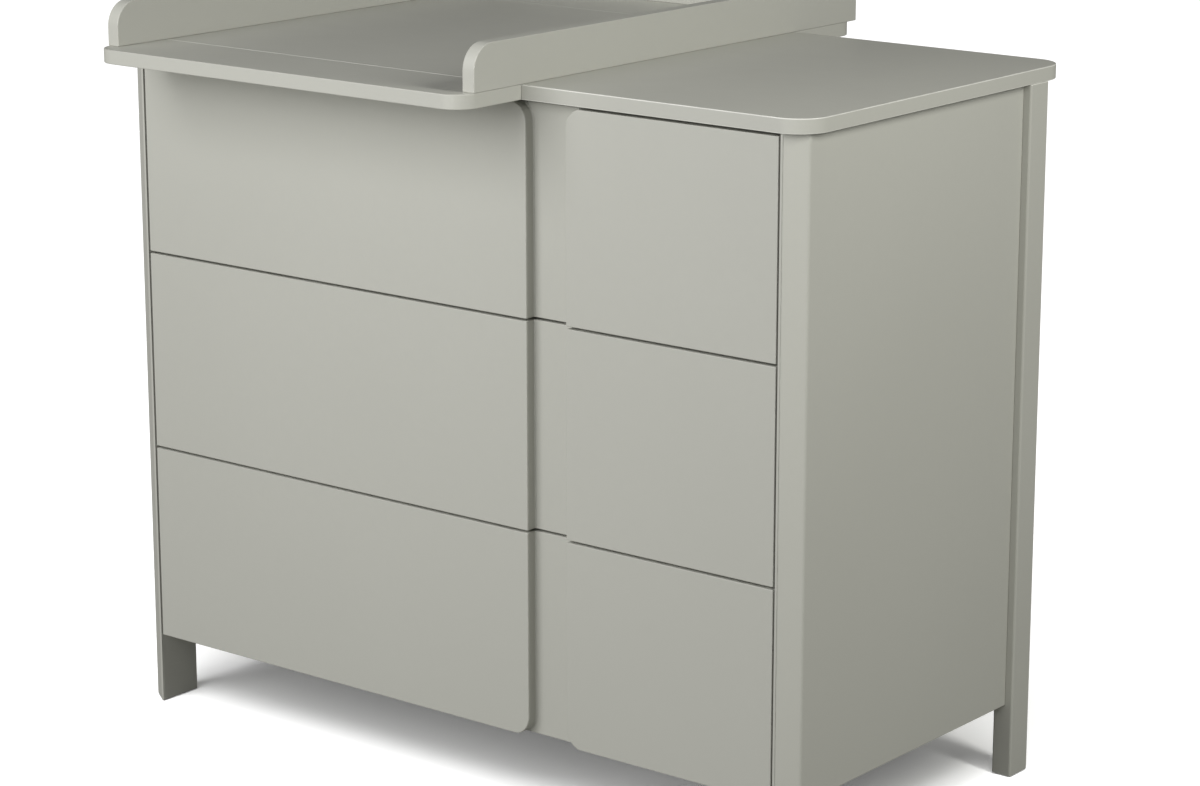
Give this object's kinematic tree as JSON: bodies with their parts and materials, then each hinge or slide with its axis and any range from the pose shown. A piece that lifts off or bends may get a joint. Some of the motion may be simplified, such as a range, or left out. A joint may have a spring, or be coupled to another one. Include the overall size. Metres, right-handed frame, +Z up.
{
  "type": "changing table",
  "caption": "Low lacquered chest with full-width drawers, finger channels and a railed changing tray fixed across its top.",
  "frame": {"origin": "on the floor, under the middle of the whole outline (top board across, changing tray front to back)", "axes": "+X to the right along the drawer fronts, +Y to the back, +Z up"},
  "size_m": [1.082, 0.798, 0.956],
  "materials": {
    "lacquer": "satin lacquer on MDF",
    "drawer_box": "foil-wrapped fibreboard",
    "back_board": "painted hardboard",
    "beech": "plain turned beech",
    "zinc_steel": "zinc-plated sheet",
    "zinc_screw": "zinc-plated",
    "glide": "moulded polyethylene"
  },
  "bodies": {
    "cabinet": {"top_board": "lacquer", "left_side_panel": "lacquer", "right_side_panel": "lacquer", "rear_left_leg": "lacquer", "rear_right_leg": "lacquer", "back_panel": "back_board", "bottom_panel": "lacquer", "front_top_rail": "lacquer", "rear_top_rail": "lacquer", "leg_glides": "glide", "leg_screws": "zinc_screw", "top_screws": "zinc_screw", "cabinet_dowels": "beech", "back_panel_screws": "zinc_screw", "tray_front_strip": "lacquer", "tray_rear_strip": "lacquer", "tray_left_guard": "lacquer", "tray_right_guard": "lacquer", "tray_back_guard": "lacquer", "tray_screws": "zinc_screw", "tray_plates": "zinc_steel", "wall_brackets": "zinc_steel", "cabinet_screws": "zinc_screw", "top_left_cabinet_rail": "zinc_steel", "top_right_cabinet_rail": "zinc_steel", "middle_left_cabinet_rail": "zinc_steel", "middle_right_cabinet_rail": "zinc_steel", "bottom_left_cabinet_rail": "zinc_steel", "bottom_right_cabinet_rail": "zinc_steel"},
    "top_drawer": {"top_drawer_front": "lacquer", "top_drawer_left_side": "drawer_box", "top_drawer_right_side": "drawer_box", "top_drawer_back": "drawer_box", "top_drawer_bottom": "drawer_box", "top_drawer_dowels": "beech", "top_drawer_screws": "zinc_screw", "top_left_drawer_rail": "zinc_steel", "top_right_drawer_rail": "zinc_steel"},
    "middle_drawer": {"middle_drawer_front": "lacquer", "middle_drawer_left_side": "drawer_box", "middle_drawer_right_side": "drawer_box", "middle_drawer_back": "drawer_box", "middle_drawer_bottom": "drawer_box", "middle_drawer_dowels": "beech", "middle_drawer_screws": "zinc_screw", "middle_left_drawer_rail": "zinc_steel", "middle_right_drawer_rail": "zinc_steel"},
    "bottom_drawer": {"bottom_drawer_front": "lacquer", "bottom_drawer_left_side": "drawer_box", "bottom_drawer_right_side": "drawer_box", "bottom_drawer_back": "drawer_box", "bottom_drawer_bottom": "drawer_box", "bottom_drawer_dowels": "beech", "bottom_drawer_screws": "zinc_screw", "bottom_left_drawer_rail": "zinc_steel", "bottom_right_drawer_rail": "zinc_steel"},
    "top_rails": {"top_middle_rails": "zinc_steel"},
    "middle_rails": {"middle_middle_rails": "zinc_steel"},
    "bottom_rails": {"bottom_middle_rails": "zinc_steel"}
  },
  "joints": [
    {"name": "top_drawer_slide", "type": "slide", "parent": "cabinet", "child": "top_drawer", "axis": [0, -1, 0], "range_m": [0, 0.36]},
    {"name": "middle_drawer_slide", "type": "slide", "parent": "cabinet", "child": "middle_drawer", "axis": [0, -1, 0], "range_m": [0, 0.36]},
    {"name": "bottom_drawer_slide", "type": "slide", "parent": "cabinet", "child": "bottom_drawer", "axis": [0, -1, 0], "range_m": [0, 0.36]},
    {"name": "top_rails_slide", "type": "slide", "parent": "cabinet", "child": "top_rails", "axis": [0, -1, 0], "range_m": [0, 0.18]},
    {"name": "middle_rails_slide", "type": "slide", "parent": "cabinet", "child": "middle_rails", "axis": [0, -1, 0], "range_m": [0, 0.18]},
    {"name": "bottom_rails_slide", "type": "slide", "parent": "cabinet", "child": "bottom_rails", "axis": [0, -1, 0], "range_m": [0, 0.18]}
  ],
  "couplings": [
    {"joint": "top_rails_slide", "follows": "top_drawer_slide", "ratio": 0.5},
    {"joint": "middle_rails_slide", "follows": "middle_drawer_slide", "ratio": 0.5},
    {"joint": "bottom_rails_slide", "follows": "bottom_drawer_slide", "ratio": 0.5}
  ]
}
